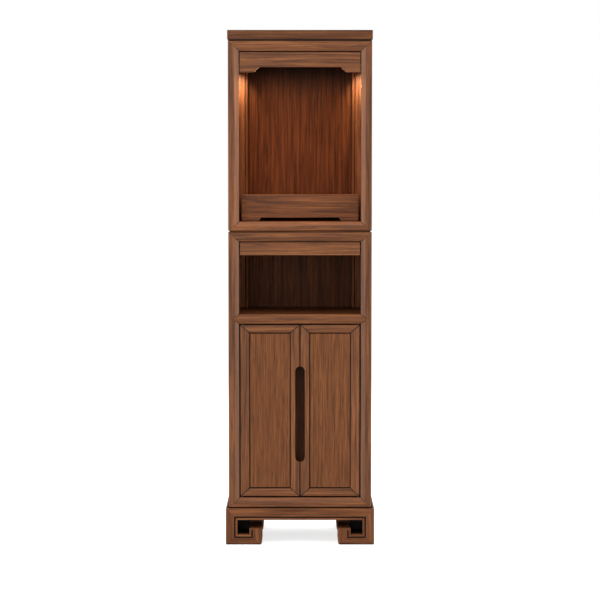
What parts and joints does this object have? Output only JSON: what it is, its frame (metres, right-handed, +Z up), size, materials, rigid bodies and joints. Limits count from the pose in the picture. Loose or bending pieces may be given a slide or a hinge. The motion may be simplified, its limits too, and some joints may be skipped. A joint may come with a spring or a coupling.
{
  "type": "household altar cabinet",
  "caption": "Slim walnut altar cabinet: an open niche with a loose step, a recess with a pull-out board and a cupboard with a finger slot, on a base with fret-carved feet.",
  "frame": {"origin": "on the floor, under the middle of the base", "axes": "+Z up, the front faces -Y, +X to the right as seen from the front"},
  "size_m": [0.51, 0.4, 1.76],
  "materials": {
    "frame_wood": "open-grained walnut under a satin lacquer",
    "panel_wood": "straight-grained walnut veneer under a satin lacquer",
    "niche_wood": "walnut under a satin lacquer",
    "recess_wood": "dark walnut under a matt lacquer",
    "base_wood": "walnut under a satin lacquer",
    "brass": "darkened with age",
    "lamp_diffuser": "frosted"
  },
  "bodies": {
    "cabinet": {"top_board": "frame_wood", "upper_ceiling": "niche_wood", "upper_floor": "niche_wood", "upper_side_left": "panel_wood", "upper_side_right": "panel_wood", "upper_back": "niche_wood", "upper_frame_top": "frame_wood", "upper_frame_bottom": "frame_wood", "upper_frame_left": "frame_wood", "upper_frame_right": "frame_wood", "upper_post_left": "niche_wood", "upper_post_right": "niche_wood", "valance": "frame_wood", "lamp_batten": "niche_wood", "lamp_strip": "lamp_diffuser", "step_front": "niche_wood", "step_top": "niche_wood", "step_leg_left": "niche_wood", "step_leg_right": "niche_wood", "lower_top": "recess_wood", "lower_side_left": "panel_wood", "lower_side_right": "panel_wood", "lower_back": "recess_wood", "recess_floor": "recess_wood", "cupboard_floor": "recess_wood", "lower_frame_top": "frame_wood", "lower_frame_middle": "frame_wood", "lower_frame_bottom": "frame_wood", "lower_frame_left": "frame_wood", "lower_frame_right": "frame_wood", "lower_post_left": "recess_wood", "lower_post_right": "recess_wood", "runner_left": "recess_wood", "runner_right": "recess_wood", "centre_batten": "recess_wood", "base_rail_front": "base_wood", "base_rail_back": "base_wood", "base_rail_left": "base_wood", "base_rail_right": "base_wood", "foot_front_left": "base_wood", "foot_front_right": "base_wood", "foot_back_left": "base_wood", "foot_back_right": "base_wood"},
    "door_left": {"door_left_stile_outer": "frame_wood", "door_left_stile_inner": "frame_wood", "door_left_rail_top": "frame_wood", "door_left_rail_bottom": "frame_wood", "door_left_panel": "panel_wood", "door_left_pivot_top": "brass", "door_left_pivot_bottom": "brass"},
    "door_right": {"door_right_stile_outer": "frame_wood", "door_right_stile_inner": "frame_wood", "door_right_rail_top": "frame_wood", "door_right_rail_bottom": "frame_wood", "door_right_panel": "panel_wood", "door_right_pivot_top": "brass", "door_right_pivot_bottom": "brass"},
    "pull_out_board": {"offering_board": "panel_wood", "offering_board_front": "frame_wood"}
  },
  "joints": [
    {"name": "door_left_hinge", "type": "hinge", "parent": "cabinet", "child": "door_left", "pos_m": [-0.1993, -0.177, 0.4616], "axis": [0, 0, -1], "range_deg": [0, 105]},
    {"name": "door_right_hinge", "type": "hinge", "parent": "cabinet", "child": "door_right", "pos_m": [0.1993, -0.177, 0.4616], "axis": [0, 0, 1], "range_deg": [0, 105]},
    {"name": "offering_board_slide", "type": "slide", "parent": "cabinet", "child": "pull_out_board", "axis": [0, -1, 0], "range_m": [0, 0.2]}
  ]
}
